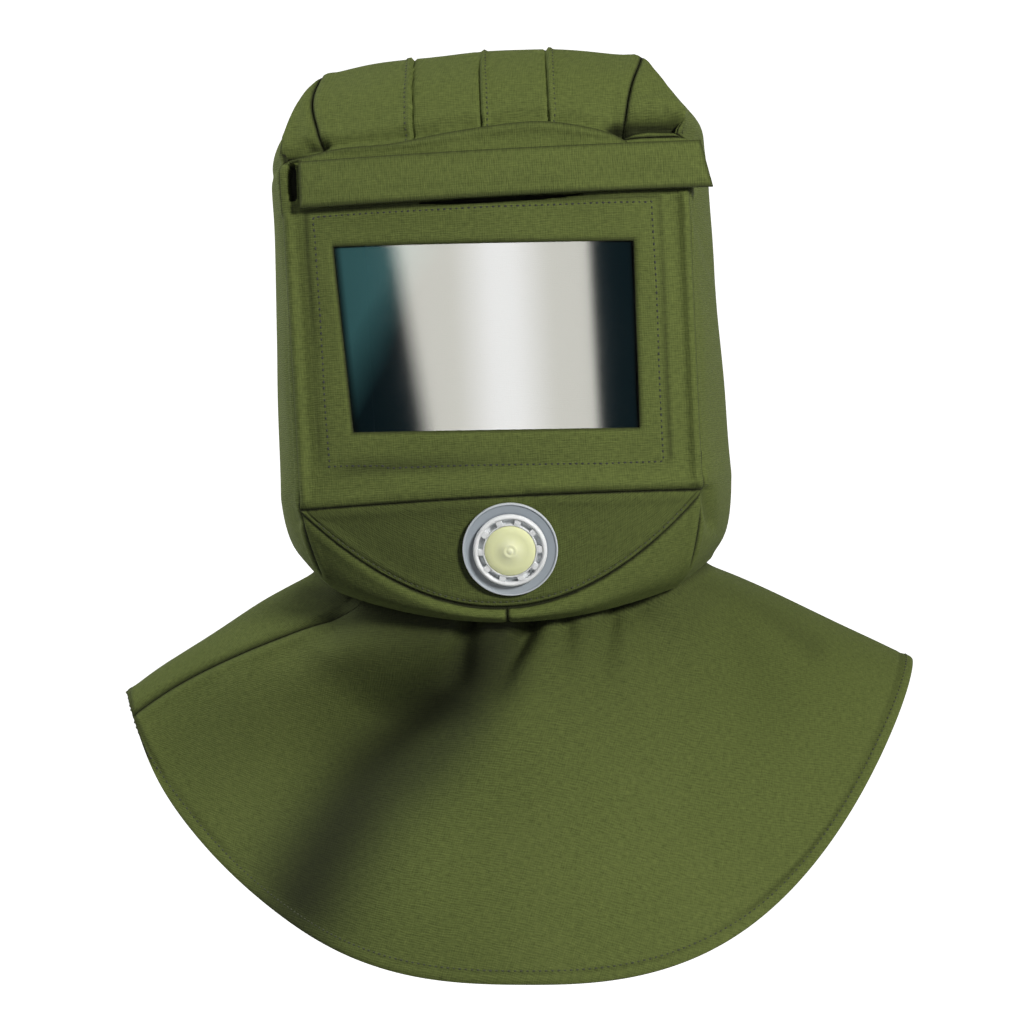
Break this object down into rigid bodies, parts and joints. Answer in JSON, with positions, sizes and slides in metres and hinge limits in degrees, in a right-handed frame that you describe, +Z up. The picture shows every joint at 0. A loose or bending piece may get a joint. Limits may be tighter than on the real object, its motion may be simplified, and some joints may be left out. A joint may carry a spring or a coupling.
{
  "type": "dust hood",
  "caption": "Canvas dust hood with a rounded box crown, a clear wrap pane behind a framed window, a hanging brow flap, an exhale valve in the chin and a flared shoulder cape",
  "frame": {"origin": "the inside of the crown's middle, where the top of the head bears", "axes": "+Z up along the hood's height, -Y the way the wearer faces, +X to the right as seen from the front"},
  "size_m": [0.4838, 0.306, 0.5458],
  "materials": {
    "canvas": "matt olive green cotton canvas",
    "pane": "clear flexible sheet, glossy",
    "valve_grey": "translucent grey moulded plastic",
    "valve_white": "white moulded plastic",
    "membrane": "pale yellow-green silicone rubber"
  },
  "bodies": {
    "root": {"front_panel": "canvas", "crown": "canvas", "side_left": "canvas", "side_right": "canvas", "chin_panel": "canvas", "window_pocket": "canvas", "lens": "pane", "window_flap": "canvas", "pocket_lip": "canvas", "cape_front": "canvas", "cape_back": "canvas", "valve_flange": "valve_grey", "valve_cage": "valve_white", "valve_membrane": "membrane", "valve_nut": "valve_white"}
  },
  "joints": []
}
